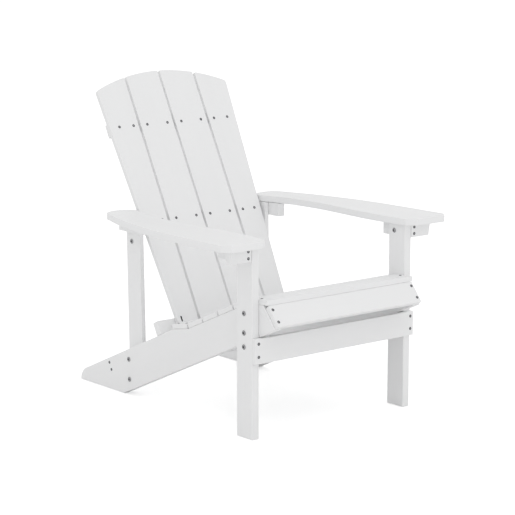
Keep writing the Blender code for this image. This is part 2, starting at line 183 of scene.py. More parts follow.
# ---- node groups and materials ------------------------------------------------------------------------
def link(tree, out, into):
    tree.links.new(out, into)


def node(tree, kind, **settings):
    made = tree.nodes.new(kind)
    for key, value in settings.items():
        setattr(made, key, value)
    return made


def math_node(tree, operation, first, second, clamp=False):
    """A Math node; an argument is either an output socket or a number."""
    made = node(tree, "ShaderNodeMath", operation=operation, use_clamp=clamp)
    for index, value in enumerate((first, second)):
        if hasattr(value, "is_output"):
            link(tree, value, made.inputs[index])
        else:
            made.inputs[index].default_value = value
    return made.outputs[0]


def noise(tree, vector, scale, detail=2.0, rough=0.5):
    made = node(tree, "ShaderNodeTexNoise")
    link(tree, vector, made.inputs["Vector"])
    made.inputs["Scale"].default_value = scale
    made.inputs["Detail"].default_value = detail
    made.inputs["Roughness"].default_value = rough
    return made.outputs["Fac"]


def stretched(tree, vector, scale):
    """The vector with each axis scaled on its own, which draws a round pattern out into streaks."""
    made = node(tree, "ShaderNodeVectorMath", operation="MULTIPLY")
    link(tree, vector, made.inputs[0])
    made.inputs[1].default_value = scale
    return made.outputs["Vector"]


def grain_group():
    """Grain of moulded plastic timber: long fine streaks pressed into the skin, a broad slow drift of tone
    and small pits.  Vector is a place on the board, its first axis along the grain."""
    group = bpy.data.node_groups.new("timber_grain", "ShaderNodeTree")
    group.interface.new_socket("Vector", in_out="INPUT", socket_type="NodeSocketVector")
    for name in ("Streaks", "Pits", "Drift"):
        group.interface.new_socket(name, in_out="OUTPUT", socket_type="NodeSocketFloat")
    enter = node(group, "NodeGroupInput")
    leave = node(group, "NodeGroupOutput")
    place = enter.outputs["Vector"]
    fine = noise(group, stretched(group, place, (9.0, 420.0, 420.0)), 1.0, 3.0, 0.6)
    wide = noise(group, stretched(group, place, (3.5, 85.0, 85.0)), 1.0, 3.0, 0.55)
    streaks = math_node(group, "ADD", math_node(group, "MULTIPLY", fine, 0.55),
                        math_node(group, "MULTIPLY", wide, 0.45))
    link(group, streaks, leave.inputs["Streaks"])
    specks = noise(group, stretched(group, place, (260.0, 700.0, 700.0)), 1.0, 2.0, 0.7)
    pits = node(group, "ShaderNodeMapRange")
    link(group, specks, pits.inputs["Value"])
    pits.inputs["From Min"].default_value = 0.56
    pits.inputs["From Max"].default_value = 0.72
    link(group, pits.outputs["Result"], leave.inputs["Pits"])
    link(group, noise(group, stretched(group, place, (2.0, 14.0, 14.0)), 1.0, 2.0, 0.5), leave.inputs["Drift"])
    return group


def worn_edge_group():
    """Softens a colour towards the tone of a rubbed edge; Edge is 1 on the rounded edges and 0 on the flats."""
    group = bpy.data.node_groups.new("rubbed_edge", "ShaderNodeTree")
    for name, kind in (("Color", "NodeSocketColor"), ("Edge", "NodeSocketFloat"),
                       ("Vector", "NodeSocketVector"), ("Edge Color", "NodeSocketColor")):
        group.interface.new_socket(name, in_out="INPUT", socket_type=kind)
    for name, kind in (("Color", "NodeSocketColor"), ("Rub", "NodeSocketFloat")):
        group.interface.new_socket(name, in_out="OUTPUT", socket_type=kind)
    enter = node(group, "NodeGroupInput")
    leave = node(group, "NodeGroupOutput")
    broken = noise(group, stretched(group, enter.outputs["Vector"], (40.0, 90.0, 90.0)), 1.0, 3.0, 0.6)
    rub = math_node(group, "MULTIPLY", enter.outputs["Edge"], broken, clamp=True)
    mix = node(group, "ShaderNodeMix", data_type="RGBA")
    link(group, rub, mix.inputs["Factor"])
    link(group, enter.outputs["Color"], mix.inputs["A"])
    link(group, enter.outputs["Edge Color"], mix.inputs["B"])
    link(group, mix.outputs["Result"], leave.inputs["Color"])
    link(group, rub, leave.inputs["Rub"])
    return group


GRAIN = grain_group()
RUBBED = worn_edge_group()


def attribute(tree, name, output):
    made = node(tree, "ShaderNodeAttribute", attribute_name=name)
    return made.outputs[output]


def new_material(name):
    material = bpy.data.materials.new(name)
    material.use_nodes = True
    return material, material.node_tree, material.node_tree.nodes["Principled BSDF"]


def plastic_timber(name, light, dark, edge, roughness, depth):
    """White plastic timber: two close tones set by the grain, slightly rubbed edges and a pressed-in grain."""
    material, tree, shader = new_material(name)
    place = attribute(tree, "board", "Vector")
    grain = node(tree, "ShaderNodeGroup", node_tree=GRAIN)
    link(tree, place, grain.inputs["Vector"])
    streaks, pits, drift = (grain.outputs[key] for key in ("Streaks", "Pits", "Drift"))
    tone = math_node(tree, "ADD", math_node(tree, "MULTIPLY", streaks, 0.45),
                     math_node(tree, "MULTIPLY", drift, 0.55))
    ramp = node(tree, "ShaderNodeValToRGB")
    link(tree, tone, ramp.inputs["Fac"])
    ramp.color_ramp.elements[0].position = 0.30
    ramp.color_ramp.elements[0].color = (*dark, 1)
    ramp.color_ramp.elements[1].position = 0.70
    ramp.color_ramp.elements[1].color = (*light, 1)
    rubbed = node(tree, "ShaderNodeGroup", node_tree=RUBBED)
    link(tree, ramp.outputs["Color"], rubbed.inputs["Color"])
    link(tree, attribute(tree, "edge", "Fac"), rubbed.inputs["Edge"])
    link(tree, place, rubbed.inputs["Vector"])
    rubbed.inputs["Edge Color"].default_value = (*edge, 1)
    link(tree, rubbed.outputs["Color"], shader.inputs["Base Color"])
    rough = math_node(tree, "ADD", math_node(tree, "MULTIPLY", streaks, 0.16), roughness - 0.08)
    pitted = math_node(tree, "MULTIPLY", pits, 0.10)
    link(tree, math_node(tree, "ADD", rough, pitted), shader.inputs["Roughness"])
    height = math_node(tree, "SUBTRACT", streaks, math_node(tree, "MULTIPLY", pits, 0.6))
    bump = node(tree, "ShaderNodeBump")
    bump.inputs["Strength"].default_value = 1.0
    bump.inputs["Distance"].default_value = depth
    link(tree, height, bump.inputs["Height"])
    link(tree, bump.outputs["Normal"], shader.inputs["Normal"])
    shader.inputs["IOR"].default_value = 1.49
    return material


def stainless(name, colour, dark, roughness):
    """Stainless steel, turned: fine rings about the head, and painted shade darkening the recess where the
    drive is cut in.
    """
    material, tree, shader = new_material(name)
    place = attribute(tree, "board", "Vector")
    split = node(tree, "ShaderNodeSeparateXYZ")
    link(tree, place, split.inputs["Vector"])
    radius, turn, height = split.outputs
    rings = node(tree, "ShaderNodeCombineXYZ")
    link(tree, math_node(tree, "MULTIPLY", radius, 5200.0), rings.inputs["X"])
    link(tree, math_node(tree, "MULTIPLY", height, 5200.0), rings.inputs["Y"])
    link(tree, math_node(tree, "MULTIPLY", turn, 0.8), rings.inputs["Z"])
    lathe_marks = noise(tree, rings.outputs["Vector"], 1.0, 2.0, 0.6)
    blotch = noise(tree, stretched(tree, place, (300.0, 1.5, 300.0)), 1.0, 3.0, 0.6)
    mix = node(tree, "ShaderNodeMix", data_type="RGBA")
    # painted shade: where the mask marks the drive recess, the colour is mixed towards the dark tone, broken up
    # by noise
    painted_recess_shade = math_node(tree, "MULTIPLY", attribute(tree, "edge", "Fac"),
                      math_node(tree, "ADD", blotch, 0.45), clamp=True)
    link(tree, painted_recess_shade, mix.inputs["Factor"])
    mix.inputs["A"].default_value = (*colour, 1)
    mix.inputs["B"].default_value = (*dark, 1)
    link(tree, mix.outputs["Result"], shader.inputs["Base Color"])
    shader.inputs["Metallic"].default_value = 1.0
    rough = math_node(tree, "ADD", math_node(tree, "MULTIPLY", lathe_marks, 0.18), roughness - 0.09)
    dulled = math_node(tree, "MULTIPLY", painted_recess_shade, 0.25)
    link(tree, math_node(tree, "ADD", rough, dulled), shader.inputs["Roughness"])
    bump = node(tree, "ShaderNodeBump")
    bump.inputs["Strength"].default_value = 0.5
    bump.inputs["Distance"].default_value = 0.00004
    link(tree, lathe_marks, bump.inputs["Height"])
    link(tree, bump.outputs["Normal"], shader.inputs["Normal"])
    return material


WHITE_LIGHT = (0.872, 0.874, 0.877)
WHITE_DARK = (0.850, 0.852, 0.856)
WHITE_RUBBED = (0.89, 0.89, 0.89)
FINISHES = {
    "frame": plastic_timber("white_timber_frame", WHITE_LIGHT, WHITE_DARK, WHITE_RUBBED, 0.50, 0.00016),
    "slat": plastic_timber("white_timber_slats", WHITE_LIGHT, WHITE_DARK, WHITE_RUBBED, 0.46, 0.00014),
    "arm": plastic_timber("white_timber_arms", WHITE_LIGHT, WHITE_DARK, WHITE_RUBBED, 0.44, 0.00013),
    # the second colour of each steel finish is painted shade for the drive recess
    "bolt": stainless("stainless_bolt", (0.36, 0.36, 0.37), (0.030, 0.030, 0.032), 0.32),
    # painted shade: the near-black finish of the sheet that stands for the slot's hollow
    "slot_shade": stainless("painted_slot_shade", (0.035, 0.035, 0.037), (0.020, 0.020, 0.021), 0.60),
    "screw": stainless("stainless_screw", (0.12, 0.12, 0.13), (0.015, 0.015, 0.016), 0.36),
}


# ---- mesh building --------------------------------------------------------------------------------------
def round_corners(outline, radii, steps=5):
    """Replaces each corner by an arc.  Returns the points with their outward side normals.

    The arc of radius r touches both sides at r * tan(turn / 2) from the corner; its centre lies on the inner
    bisector, and its normals turn evenly from one side's normal to the other's.  A corner of radius 0 keeps its
    point, with the normal halfway between, as on a curve drawn by many short sides."""
    outline = np.asarray(outline, float)
    radii = np.broadcast_to(np.asarray(radii, float), len(outline))
    before = outline - np.roll(outline, 1, 0)
    after = np.roll(outline, -1, 0) - outline
    before /= np.linalg.norm(before, axis=1)[:, None]
    after /= np.linalg.norm(after, axis=1)[:, None]
    points, normals = [], []
    for corner, into, out, radius in zip(outline, before, after, radii):
        turn = math.atan2(into[0] * out[1] - into[1] * out[0], float(into @ out))
        side = np.array([into[1], -into[0]])
        if radius <= 0 or abs(turn) < 1e-4:
            middle = side + np.array([out[1], -out[0]])
            points.append(corner[None])
            normals.append((middle / np.linalg.norm(middle))[None])
            continue
        start = corner - into * radius * abs(math.tan(turn / 2))
        sign = 1.0 if turn > 0 else -1.0
        centre = start - side * radius * sign
        swing = np.linspace(0, turn, steps + 1)
        arm = np.stack([side[0] * np.cos(swing) - side[1] * np.sin(swing),
                        side[0] * np.sin(swing) + side[1] * np.cos(swing)], 1)
        points.append(centre + arm * radius * sign)
        normals.append(arm)
    return np.concatenate(points), np.concatenate(normals)


def counterclockwise(outline):
    outline = np.asarray(outline, float)
    x, y = outline.T
    area = np.sum(x * np.roll(y, -1) - y * np.roll(x, -1))
    return outline if area > 0 else outline[::-1]


def finish_piece(name, verts, faces, normals, board, edge, finish, replaced=()):
    """One closed mesh with worked-out normals, its board coordinates and its edge mask."""
    mesh = bpy.data.meshes.new(name)
    mesh.from_pydata(verts.tolist(), [], faces)
    mesh.validate()
    mesh.shade_smooth()
    place = mesh.attributes.new("board", "FLOAT_VECTOR", "POINT")
    place.data.foreach_set("vector", np.asarray(board, np.float32).ravel())
    mask = mesh.attributes.new("edge", "FLOAT", "POINT")
    mask.data.foreach_set("value", np.asarray(edge, np.float32))
    if normals is not None:
        mesh.normals_split_custom_set_from_vertices(normals.tolist())
    thing = bpy.data.objects.new(name, mesh)
    bpy.context.collection.objects.link(thing)
    mesh.materials.append(FINISHES[finish])
    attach(thing, "root")
    replaced[0] if replaced else name
    if replaced:
        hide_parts(*replaced)
    return thing


board_count = 0


def board(name, outline, origin, axis_a, axis_b, thickness, grain, finish="frame", corner=0.0019,
          edge=EDGE_LIGHT, steps=5, replaced=None):
    """A board sawn to an outline, with every edge rounded.

    The outline lies in the plane of axis_a and axis_b.  The rounding is a quarter circle of radius e carried
    round it: at angle t the ring is drawn in by e * (1 - cos t) and stands e * (1 - sin t) below the face, with
    the normal cos t along the outline's normal plus sin t along the face's.  Two faces close it.  grain is
    the direction of the grain in the outline's own (a, b)."""
    global board_count
    board_count += 1
    origin, axis_a, axis_b = (np.asarray(v, float) for v in (origin, axis_a, axis_b))
    outline = counterclockwise(outline)
    corner = np.where(np.asarray(corner) > 0, np.maximum(corner, edge + 0.0003), 0.0)
    points, sides = round_corners(outline, corner, steps)
    across = np.cross(axis_a, axis_b)
    angle = np.linspace(0, math.pi / 2, EDGE_STEPS + 1)
    inset = edge * (1 - np.cos(angle))
    height = thickness / 2 - edge * (1 - np.sin(angle))
    lean, rise = np.cos(angle), np.sin(angle)
    inset = np.concatenate([inset[::-1], inset])
    height = np.concatenate([-height[::-1], height])
    lean = np.concatenate([lean[::-1], lean])
    rise = np.concatenate([-rise[::-1], rise])
    rings, count = len(inset), len(points)
    flat = points[None] - sides[None] * inset[:, None, None]
    heights = np.repeat(height[:, None], count, 1)
    verts = (origin + flat[..., :1] * axis_a + flat[..., 1:] * axis_b
             + heights[..., None] * across).reshape(-1, 3)
    normals = (lean[:, None, None] * (sides[None, :, :1] * axis_a + sides[None, :, 1:] * axis_b)
               + rise[:, None, None] * across).reshape(-1, 3)
    ring, step = np.meshgrid(np.arange(rings - 1), np.arange(count), indexing="ij")
    following = (step + 1) % count
    quads = np.stack([ring * count + step, ring * count + following, (ring + 1) * count + following,
                      (ring + 1) * count + step], -1).reshape(-1, 4)
    faces = quads.tolist()
    faces.append(list(range(count))[::-1])
    faces.append(list(range((rings - 1) * count, rings * count)))
    grain = np.asarray(grain, float) / np.linalg.norm(grain)
    length = flat @ grain
    width = flat @ np.array([-grain[1], grain[0]])
    shift = 1.7 * board_count
    place = np.stack([length + shift, width + 0.31 * shift, heights], -1).reshape(-1, 3)
    rounded = np.repeat((np.minimum(lean, np.abs(rise)) > 1e-6).astype(float)[:, None], count, 1).ravel()
    return finish_piece(name, verts, faces, normals, place, rounded, finish, replaced or (name,))


AXIS_X, AXIS_Y, AXIS_Z = np.eye(3)


def side_board(name, outline, x, thickness, grain, **options):
    """A board whose wide face looks sideways; its outline is in (s, z)."""
    return board(name, outline, world(0, 0, x), AXIS_Y, AXIS_Z, thickness, grain, **options)


def cross_board(name, section, half_length, edge=EDGE_LIGHT, finish="slat", replaced=None, x=0.0):
    """A board from side to side, drawn on its wide face: section is its four corners in (s, z), in order, with
    the first side along its width."""
    section = np.asarray(section, float)
    width_dir = section[1] - section[0]
    width = np.linalg.norm(width_dir)
    width_dir = width_dir / width
    thick_dir = section[3] - section[0]
    thickness = np.linalg.norm(thick_dir)
    middle = section.mean(0)
    across = np.array([0, *width_dir])
    outline = rectangle(-half_length, -width / 2, half_length, width / 2)
    return board(name, outline, world(middle[0], middle[1], x), AXIS_X, across, thickness, (1, 0),
                 finish=finish, edge=edge, corner=edge, replaced=replaced)


DRIVE_LOBES = 6
LOBE_DEPTH = 0.16
SHARP_ANGLE = math.radians(32)


def turned(name, profile, spot, axis, finish, sides=28, replaced=None):
    """A turned piece with a drive recess: a profile of (radius, height, mask) carried round an axis.

    Two flat faces close its ends.  Where the mask is 1, inside the drive, the row is a star: its radius is
    radius * (1 + LOBE_DEPTH * cos(DRIVE_LOBES * turn)), so the wall runs in and out with each lobe."""
    axis = np.asarray(axis, float) / np.linalg.norm(axis)
    helper = AXIS_Z if abs(axis[2]) < 0.9 else AXIS_Y
    first = np.cross(helper, axis)
    first /= np.linalg.norm(first)
    second = np.cross(axis, first)
    rows = np.asarray(profile, float)
    turn = np.linspace(0, math.tau, sides, endpoint=False)
    lobe = 1 + LOBE_DEPTH * np.cos(DRIVE_LOBES * turn)
    radius = rows[:, :1] * np.where(rows[:, 2:3] > 0.5, lobe[None], 1.0)
    heights = np.repeat(rows[:, 1:2], sides, 1)
    grid = (np.asarray(spot, float) + radius[..., None] * (np.cos(turn)[None, :, None] * first
            + np.sin(turn)[None, :, None] * second) + heights[..., None] * axis)
    verts = grid.reshape(-1, 3)
    count = len(rows)
    ring, step = np.meshgrid(np.arange(count - 1), np.arange(sides), indexing="ij")
    following = (step + 1) % sides
    quads = np.stack([ring * sides + step, (ring + 1) * sides + step, (ring + 1) * sides + following,
                      ring * sides + following], -1).reshape(-1, 4)
    faces = quads.tolist()
    faces.append(list(range(sides)))
    faces.append(list(range((count - 1) * sides, count * sides))[::-1])
    place = np.stack([radius, np.repeat(turn[None], count, 0), heights], -1).reshape(-1, 3)
    # the mask marks the drive recess, which the steel finishes darken as painted shade
    mask = np.repeat(rows[:, 2:3], sides, 1).ravel()
    thing = finish_piece(name, verts, faces, None, place, mask, finish, replaced or ())
    thing.data.set_sharp_from_angle(angle=SHARP_ANGLE)
    return thing


# ---- fasteners ------------------------------------------------------------------------------------------
def dome(radius, height, edge_height, steps=6):
    """Rows of a domed head from its rim up to the drive: height falls off with the square of the radius."""
    reach = np.linspace(1.0, 0.50, steps)
    return [(radius * r, -(edge_height + (height - edge_height) * (1 - r * r)), 0.0) for r in reach]


def bolt_rows(grip):
    head, height, shank, nut, nut_height = 0.0072, 0.0034, 0.0036, 0.0062, 0.0040
    top = -(0.0012 + (height - 0.0012) * 0.75)
    recess = [(0.46 * head, top - 0.00005, 0.0), (0.40 * head, top - 0.00002, 1.0), (0.37 * head, -0.0009, 1.0)]
    return (recess[::-1] + dome(head, height, 0.0012)[::-1]
            + [(head, -0.0005, 0.0), (0.97 * head, -FIT_GAP, 0.0), (shank, -FIT_GAP, 0.0),
               (shank, grip + FIT_GAP, 0.0), (0.94 * nut, grip + FIT_GAP, 0.0), (nut, grip + 0.0009, 0.0),
               (nut, grip + nut_height - 0.0009, 0.0),
               (0.9 * nut, grip + nut_height, 0.0), (0.55 * nut, grip + nut_height, 0.0)])


def screw_rows(head=0.0042, height=0.0013, shank=0.0019, length=0.030):
    top = -(0.0004 + (height - 0.0004) * 0.75)
    recess = [(0.46 * head, top - 0.00003, 0.0), (0.40 * head, top - 0.00001, 1.0), (0.34 * head, 0.0004, 1.0)]
    return (recess[::-1] + dome(head, height, 0.0004)[::-1]
            + [(head, -0.0002, 0.0), (0.98 * head, -0.0001, 0.0), (shank, -0.0001, 0.0),
               (shank, 0.8 * length, 0.0), (0.15 * shank, length, 0.0)])


def bolt(name, spot, axis, grip):
    turned(name, bolt_rows(grip), spot, axis, "bolt", replaced=(name,))


def lag(name, spot, axis):
    turned(name, screw_rows(0.0072, 0.0034, 0.0036, 0.034), spot, axis, "bolt", replaced=(name,))


def screw(name, spot, axis, replaced=None, length=0.030):
    thing = turned(name, screw_rows(length=length), spot, axis, "screw", sides=24, replaced=replaced)


# ---- outlines -------------------------------------------------------------------------------------------
def stringer_outline():
    arc_end = math.pi / 2 - RAKE
    centre = HEEL - HEEL_RADIUS
    sweep = np.linspace(0.06, arc_end, 12)
    heel = np.stack([centre + HEEL_RADIUS * np.cos(sweep), HEEL_RADIUS * np.sin(sweep)], 1)
    cut_start = np.array(LIP_TOP) + LIP_IN * (BOARD + FIT_GAP)
    nose_top = cut_start + LIP_DOWN * (SEAT_NOSE_HEIGHT - cut_start[1]) / LIP_DOWN[1]
    nose_tip = meet_line(cut_start, LIP_DOWN, STRINGER_LOW, math.tan(RAKE))
    toe = (STRINGER_LOW / math.tan(RAKE), 0.0)
    outline = np.array([toe, (HEEL - 0.0001, 0.0), *heel, SEAT_REAR, SEAT_BEND, SEAT_CREST, nose_top, nose_tip])
    radii = [0.002, 0.0015] + [0.0] * len(heel) + [0.0, 0.0, 0.0, 0.0015, 0.0025]
    return outline, radii


def post_outline():
    half = LEG_WIDTH / 2
    top = arm_underside(POST_MIDDLE + LEG_WIDTH) - FIT_GAP

    def edge(side, z):
        return (POST_MIDDLE + side * half + POST_LEAN * z, z)
    return [edge(-1, stringer_low(POST_MIDDLE - half) + 0.002),
            edge(1, stringer_low(POST_MIDDLE + half) + 0.004), edge(1, top), edge(-1, top)]


def rest_outline():
    front, rear, low = 0.600, 0.640, 0.437
    corner = back_point(RAIL_MIDDLE - BATTEN / 2 - FIT_GAP, BOARD)
    slope = math.tan(RECLINE)
    return [(front, low), (rear, low), (rear, corner[1] - slope * (rear - corner[0])),
            (front, corner[1] - slope * (front - corner[0]))]


def ledger_outline():
    front, rear, low = 0.004, 0.063, 0.217
    gap = 2 * FIT_GAP
    return [(front, low), (rear, low), (rear, stringer_low(rear) - gap), (front, stringer_low(front) - gap)]


ARM_STATIONS = np.array([       # s, inner edge, outer edge of the plan
    (-0.012, 0.256, 0.407),
    (0.080, 0.250, 0.4065),
    (0.170, 0.250, 0.4045),
    (0.260, 0.257, 0.4015),
    (0.350, 0.263, 0.3925),
    (0.440, 0.261, 0.3765),
    (0.530, 0.249, 0.3550),
    (0.612, 0.2262, 0.3280),
])
ARM_FRONT = -0.036
ARM_REAR = 0.650
ARM_CHAMFER_INNER = 0.028
ARM_CHAMFER_OUTER = 0.020


def smooth_edge(column, steps=6):
    """Catmull-Rom curve through the stations' places of one edge, as (x, s) points."""
    points = ARM_STATIONS[:, [column, 0]]
    padded = np.concatenate([points[:1], points, points[-1:]])
    a, b, c, d = (padded[i:len(padded) - 3 + i, None] for i in range(4))
    t = (np.arange(steps) / steps)[None, :, None]
    curve = 0.5 * (2 * b + (c - a) * t + (2 * a - 5 * b + 4 * c - d) * t ** 2
                   + (3 * b - a - 3 * c + d) * t ** 3)
    return np.concatenate([curve.reshape(-1, 2), points[-1:]])


def arm_outline():
    inner, outer = smooth_edge(1), smooth_edge(2)
    last, inside, outside = ARM_STATIONS[-1]
    middle, half = (inside + outside) / 2, (outside - inside) / 2
    sweep = np.linspace(0, math.pi, 19)[1:-1]
    rear = np.stack([middle - half * np.cos(sweep), last + (ARM_REAR - last) * np.sin(sweep)], 1)
    front = np.array([(outer[0][0] - ARM_CHAMFER_OUTER, ARM_FRONT),
                      (inner[0][0] + ARM_CHAMFER_INNER, ARM_FRONT)])
    outline = np.concatenate([inner, rear, outer[::-1], front])
    radii = np.zeros(len(outline))
    radii[0] = radii[-3] = 0.005
    radii[-2:] = 0.005
    return outline, radii


def crown(x):
    return BACK_TOP - CROWN_RADIUS + np.sqrt(CROWN_RADIUS ** 2 - np.square(x))


def outer_edge(along):
    return OUTER_SLAT_FOOT + OUTER_SLAT_FLARE * (along - BACK_BOTTOM)


def back_slat_outline(inner, outer_low, outer_high, corner_in, corner_out):
    run = np.linspace(inner, outer_high, 12)
    top = np.stack([run, crown(run)], 1)
    outline = np.concatenate([[(inner, BACK_BOTTOM)], top, [(outer_low, BACK_BOTTOM)]])
    radii = np.zeros(len(outline))
    radii[[0, -1]] = 0.0015
    radii[1], radii[-2] = corner_in, corner_out
    return outline, radii


def drop_short(outline, radii):
    """Leaves out curve points that a neighbouring rounded corner would swallow."""
    outline, radii = np.asarray(outline, float), np.asarray(radii, float)
    keep = np.ones(len(outline), bool)
    for index in np.nonzero(radii > 0.003)[0]:
        distance = np.linalg.norm(outline - outline[index], axis=1)
        keep &= (distance > 1.25 * radii[index]) | (np.arange(len(outline)) == index)
    return outline[keep], radii[keep]


# ---- the boards --------------------------------------------------------------------------------------
FRONT_CLEAT = (TIMBER + FIT_GAP, 0.118, 0.4905)     # front, rear and lower end
REAR_CLEAT = (0.5334, 0.650, 0.4890)
ARM_BRACKET = (0.366, 0.360, 0.4940)                # outer end at the top and at the foot, lower end
SLAT_CORNERS_OUTER = (0.004, 0.012)                 # radii of the top corners: inner, outer
INNER_SLAT = (0.0036, 0.1233, 0.1233, 0.003, 0.003) # edges: inner, outer at the foot and top; corner radii
BACK_AXIS = np.array([0, *BACK_UP])

for label, side in SIDES:
    outline, radii = stringer_outline()
    side_board("stringer_" + label, outline, side * (STRINGER_OUT - TIMBER / 2), TIMBER, STRINGER_ALONG,
               corner=radii, edge=EDGE_HEAVY)

    leg_top = arm_underside(LEG_WIDTH) - FIT_GAP
    side_board("front_leg_" + label, rectangle(0, 0, LEG_WIDTH, leg_top), side * (HALF_WIDTH_LEGS - TIMBER / 2),
               TIMBER, (0, 1), edge=EDGE_HEAVY, corner=0.0025)
    side_board("rear_post_" + label, post_outline(), side * (POST_OUT - BOARD / 2), BOARD, (POST_LEAN, 1))
    side_board("ledger_" + label, ledger_outline(), side * (STRINGER_OUT - TIMBER / 2), TIMBER, (1, 0))
    side_board("rail_rest_" + label, rest_outline(), side * (POST_IN - FIT_GAP - BOARD / 2), BOARD, (1, 0),
               corner=0.0015, edge=0.0015)
    cleat_x = HALF_WIDTH_LEGS + FIT_GAP + TIMBER / 2
    front, rear, low = FRONT_CLEAT
    side_board("front_cleat_" + label, rectangle(front, low, rear, arm_underside(rear) - FIT_GAP),
               side * cleat_x, TIMBER, (1, 0), edge=EDGE_LIGHT)
    front, rear, low = REAR_CLEAT
    side_board("rear_cleat_" + label, rectangle(front, low, rear, arm_underside(rear) - FIT_GAP),
               side * (POST_OUT + FIT_GAP + TIMBER / 2), TIMBER, (1, 0), edge=EDGE_LIGHT)

    inner_x = HALF_WIDTH_LEGS + BRACKET_GAP
    outer_top, outer_low, low = ARM_BRACKET
    high = arm_underside(TIMBER) - FIT_GAP
    shape = np.array([(inner_x, low), (outer_low, low), (outer_top, high), (inner_x, high)]) * (side, 1)
    board("arm_bracket_" + label, shape, world(TIMBER / 2, 0), AXIS_X, AXIS_Z, TIMBER, (1, 0), corner=0.002)

    outline, radii = drop_short(*arm_outline())
    outline = outline * (side, 1)
    if side > 0:
        outline, radii = outline[::-1], radii[::-1]
    tilt = math.atan(ARM_FALL)
    arm_axis = np.array([0, math.cos(tilt), -math.sin(tilt)])
    board("armrest_" + label, outline, world(0, ARM_UNDERSIDE + ARM_THICK / 2), AXIS_X, arm_axis,
          ARM_THICK, (0, 1), finish="arm", corner=radii, edge=EDGE_HEAVY)

    outer_high = float(outer_edge(crown(OUTER_SLAT_FOOT)))
    outer_slat = (OUTER_SLAT_INSIDE, OUTER_SLAT_FOOT, outer_high, *SLAT_CORNERS_OUTER)
    for name, parts in (("outer", outer_slat), ("inner", INNER_SLAT)):
        outline, radii = drop_short(*back_slat_outline(*parts))
        outline = outline * (side, 1)
        if side > 0:
            outline, radii = outline[::-1], radii[::-1]
        spot = back_point(0.0, BOARD / 2)
        board("back_slat_%s_%s" % (name, label), outline, world(*spot), AXIS_X, BACK_AXIS, BOARD, (0, 1),
              finish="slat", corner=radii)


UPPER_RAIL_HALF = 0.2235
MIDDLE_RAIL_HALF = 0.2276
LOWER_RAIL_HALF = 0.2655


def back_rail(along):
    return strip(back_point(along - BATTEN / 2, BOARD + FIT_GAP), BACK_UP, BACK_REAR, BATTEN, TIMBER)


def lower_rail():
    """The lower rail stands on the stringers, so its foot is cut to their slope."""
    lift = STRINGER_LOW + STRINGER_WIDTH / math.cos(RAKE) + 2 * FIT_GAP
    front_top = back_point(RAIL_LOWER + BATTEN / 2, BOARD + FIT_GAP)
    rear_top = front_top + BACK_REAR * TIMBER
    front_foot = meet_line(front_top, -BACK_UP, lift, math.tan(RAKE))
    rear_foot = meet_line(rear_top, -BACK_UP, lift, math.tan(RAKE))
    return np.array([front_foot, rear_foot, rear_top, front_top])


cross_board("back_rail_upper", back_rail(RAIL_UPPER), UPPER_RAIL_HALF, finish="frame")
cross_board("back_rail_middle", back_rail(RAIL_MIDDLE), MIDDLE_RAIL_HALF, finish="frame")
side_board("back_rail_lower", lower_rail(), 0.0, 2 * LOWER_RAIL_HALF, (1, 0))


def seat_slats():
    """Sections of the seat slats from the rear to the front, each lying on the stringers' top edge."""
    rear, bend, crest = (np.array(p) for p in (SEAT_REAR, SEAT_BEND, SEAT_CREST))
    sections = []
    for start, end, count, skip in ((bend, rear, 1, 0.0030), (crest, bend, SLOPING_SLATS, 0.0022)):
        length = np.linalg.norm(end - start)
        along = (end - start) / length
        up = np.array([-along[1], along[0]])
        for index in range(count):
            corner = start + along * (skip + length / count * index) + up * FIT_GAP
            sections.append(strip(corner, along, up, SLAT_WIDTH, BOARD))
    fall = np.array([SEAT_CREST[0] + 0.0166, SEAT_CREST[1] - SEAT_NOSE_HEIGHT])
    fall /= np.linalg.norm(fall)
    up = np.array([-fall[1], fall[0]])
    front = strip(crest - fall * 0.0784 + up * FIT_GAP, fall, up, SLAT_WIDTH, BOARD)
    return [sections[0]] + sections[1:][::-1] + [front]


SEAT = seat_slats()
LEVEL_SLAT = len(SEAT)
for number, section in enumerate(SEAT, start=1):
    cross_board("seat_slat_%d" % number, section, SEAT_HALF_LENGTH,
                edge=EDGE_FINE if number == LEVEL_SLAT else EDGE_LIGHT)

cross_board("seat_lip", strip(LIP_TOP, LIP_DOWN, LIP_IN, LIP_WIDTH, BOARD), LIP_HALF_LENGTH, edge=EDGE_FINE)
apron_section = rectangle(-FIT_GAP - BOARD, APRON_Z[0], -FIT_GAP, APRON_Z[1])
cross_board("apron", apron_section[[1, 2, 3, 0]], HALF_WIDTH_LEGS, finish="frame")
corner = np.array(STRETCHER) - STRINGER_ALONG * TIMBER / 2 - STRINGER_UP * STRETCHER_WIDTH / 2
cross_board("rear_stretcher", strip(corner, STRINGER_ALONG, STRINGER_UP, TIMBER, STRETCHER_WIDTH)[[1, 2, 3, 0]],
            STRINGER_IN - FIT_GAP, finish="frame")

# ---- the bolts and screws --------------------------------------------------------------------------------
LEG_BOLT_S = 0.0345
LEG_BOLT_HEIGHTS = (0.348, 0.294)
LEDGER_BOLT_HEIGHT = 0.255
POST_BOLTS = ((0.607, 0.109), (0.604, 0.049))       # (s, z)
REST_BOLT = (0.619, 0.457)
FRONT_CLEAT_BOLT = (0.0446, 0.5123)
REAR_CLEAT_BOLT = (0.6380, 0.4990)
STRETCHER_SCREWS = ((0.707, 0.081), (0.697, 0.061))
LIP_SCREWS = (0.0136, 0.0516)                       # distances from its upper edge
APRON_SCREW_HEIGHTS = (0.2700, 0.2335)
BRACKET_SCREW_X = 0.3027
BRACKET_SCREW_HEIGHTS = (0.5237, 0.5046)
SEAT_SCREW_X = 0.2535                               # the middle of the stringers
BACK_SCREWS = (("upper", RAIL_UPPER, (0.026, 0.1002, 0.1505, 0.2015)),
               ("middle", RAIL_MIDDLE, (0.026, 0.1002, 0.1505, 0.1950)),
               ("lower", 0.2605, (0.026, 0.1002, 0.1505)))      # place along the back, then x of each

